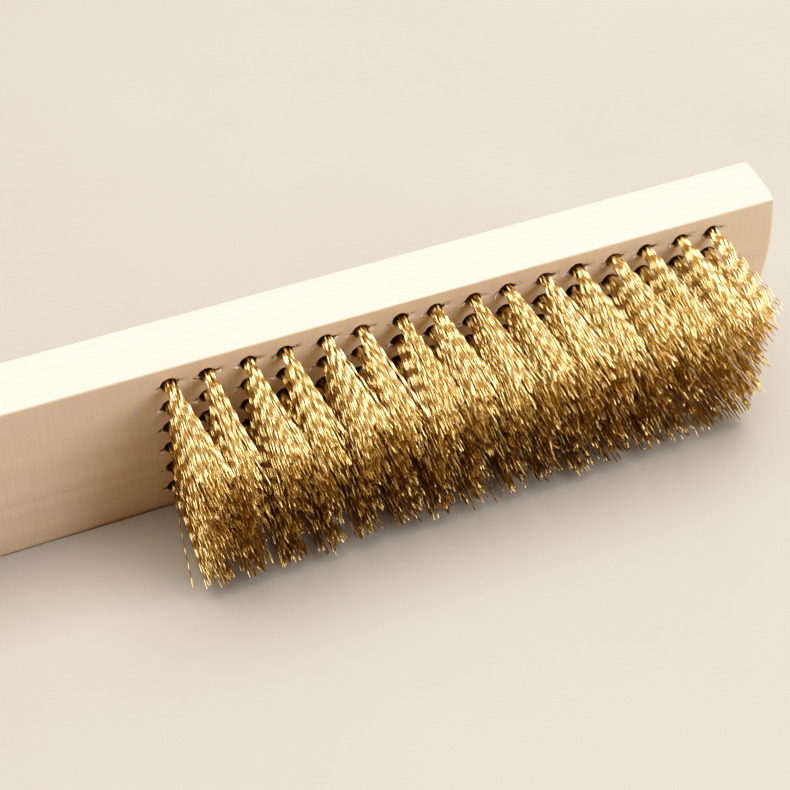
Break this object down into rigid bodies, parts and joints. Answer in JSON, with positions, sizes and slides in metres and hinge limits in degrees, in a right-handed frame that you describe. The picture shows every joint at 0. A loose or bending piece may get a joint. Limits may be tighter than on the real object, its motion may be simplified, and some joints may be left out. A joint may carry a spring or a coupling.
{
  "type": "wire brush",
  "caption": "Hand scratch brush: a straight wooden block and handle in one piece, with rows of stiff brass wire tufts standing out of one wide face near its end.",
  "frame": {"origin": "centre of the long narrow edge that the brush stands on", "axes": "+X along the board towards the brush end, +Z across the board's width, the tufts point along -Y"},
  "size_m": [0.24, 0.0386, 0.0408],
  "materials": {
    "wood": "matte",
    "brass_wire": "satin",
    "anchor_wire": "satin"
  },
  "bodies": {
    "root": {"handle_block": "wood", "anchor_row_01": "anchor_wire", "anchor_row_02": "anchor_wire", "anchor_row_03": "anchor_wire", "anchor_row_04": "anchor_wire", "anchor_row_05": "anchor_wire", "anchor_row_06": "anchor_wire", "anchor_row_07": "anchor_wire", "anchor_row_08": "anchor_wire", "anchor_row_09": "anchor_wire", "anchor_row_10": "anchor_wire", "anchor_row_11": "anchor_wire", "anchor_row_12": "anchor_wire", "anchor_row_13": "anchor_wire", "anchor_row_14": "anchor_wire", "anchor_row_15": "anchor_wire", "anchor_row_16": "anchor_wire", "bristle_row_01": "brass_wire", "bristle_row_02": "brass_wire", "bristle_row_03": "brass_wire", "bristle_row_04": "brass_wire", "bristle_row_05": "brass_wire", "bristle_row_06": "brass_wire", "bristle_row_07": "brass_wire", "bristle_row_08": "brass_wire", "bristle_row_09": "brass_wire", "bristle_row_10": "brass_wire", "bristle_row_11": "brass_wire", "bristle_row_12": "brass_wire", "bristle_row_13": "brass_wire", "bristle_row_14": "brass_wire", "bristle_row_15": "brass_wire", "bristle_row_16": "brass_wire"}
  },
  "joints": []
}
